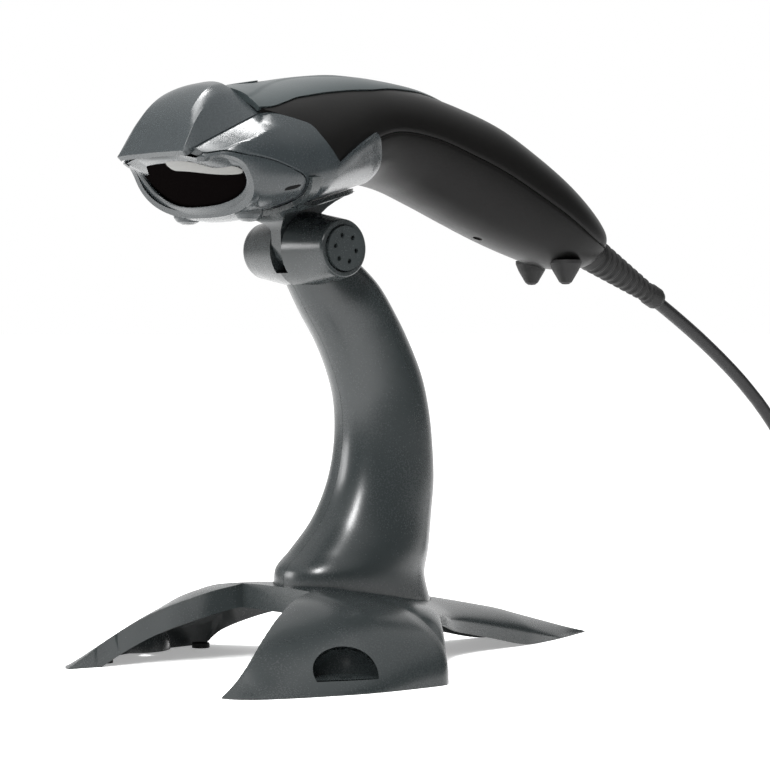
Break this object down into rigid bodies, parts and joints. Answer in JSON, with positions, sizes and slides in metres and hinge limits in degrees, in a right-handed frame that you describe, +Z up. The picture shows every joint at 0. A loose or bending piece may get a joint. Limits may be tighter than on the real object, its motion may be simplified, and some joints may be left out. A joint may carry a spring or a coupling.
{
  "type": "corded handheld barcode scanner with desk stand",
  "caption": "Curved handheld barcode scanner with a top trigger button, resting in the tilting cradle of a curved column desk stand with a splayed base.",
  "frame": {"origin": "centre of the footprint of scanner and stand, at the desk, without the free cable", "axes": "+Z up, +X across the stand, the scanner's nose looks along -Y and its cable leaves along +Y"},
  "size_m": [0.127, 0.4341, 0.1891],
  "materials": {
    "stand_plastic": "fine satin texture, dark slate grey",
    "head_plastic": "fine satin texture, dark slate grey",
    "handle_plastic": "matte black",
    "steel": "plated",
    "rubber": "matte",
    "washer_plastic": "natural",
    "window": "dark tinted, polished",
    "circuit_board": "solder mask",
    "chassis_plastic": "moulded",
    "brass": "turned",
    "mirror": "front coated",
    "copper": "enamelled winding",
    "led": "diffused",
    "clear_plastic": "clear",
    "cord_jacket": "matte black jacket"
  },
  "bodies": {
    "stand": {"base_shell": "stand_plastic", "ballast_plate": "steel", "desk_pads": "rubber", "stand_half_left": "stand_plastic", "stand_half_right": "stand_plastic", "tension_cap": "stand_plastic", "pivot_bolt": "steel", "pivot_nut": "steel", "friction_washers": "washer_plastic", "half_screws": "steel", "root_screws": "steel", "cord_coil": "cord_jacket", "cord_tail": "cord_jacket", "usb_plug": "cord_jacket", "cord_tie": "cord_jacket"},
    "cradle": {"cradle": "stand_plastic"},
    "scanner": {"nose_hood": "head_plastic", "head_shroud": "head_plastic", "nose_bezel": "head_plastic", "nose_bumpers": "rubber", "scan_window": "window", "spine_cover": "head_plastic", "handle_top": "handle_plastic", "handle_bottom": "handle_plastic", "tail_feet": "rubber", "cable_boot": "rubber", "main_board": "circuit_board", "optics_chassis": "chassis_plastic", "laser_module": "brass", "collecting_mirror": "mirror", "photodiode_board": "circuit_board", "mirror_coil": "copper", "mirror_pivot": "steel", "beeper": "chassis_plastic", "status_led": "led", "trigger_switch": "steel", "cable_socket": "chassis_plastic", "cable_plug": "clear_plastic", "case_screws": "steel", "cord": "cord_jacket"},
    "button": {"trigger_button": "head_plastic"},
    "scan_mirror": {"scan_mirror": "mirror"}
  },
  "joints": [
    {"name": "tilt", "type": "hinge", "parent": "stand", "child": "cradle", "pos_m": [0, -0.03565, 0.133], "axis": [1, 0, 0], "range_deg": [-15, 25], "deforming": ["cord"]},
    {"name": "lift_out", "type": "slide", "parent": "cradle", "child": "scanner", "axis": [0, 0, 1], "range_m": [0, 0.045], "deforming": ["cord"]},
    {"name": "trigger_press", "type": "slide", "parent": "scanner", "child": "button", "axis": [0, 0.1908, -0.9816], "range_m": [0, 0.0008], "stiffness_N_per_m": 600, "springref_m": -0.0008},
    {"name": "mirror_sweep", "type": "hinge", "parent": "scanner", "child": "scan_mirror", "pos_m": [0, -0.05005, 0.16], "axis": [0, 0, 1], "range_deg": [-12, 12], "stiffness_Nm_per_rad": 0.0005}
  ]
}
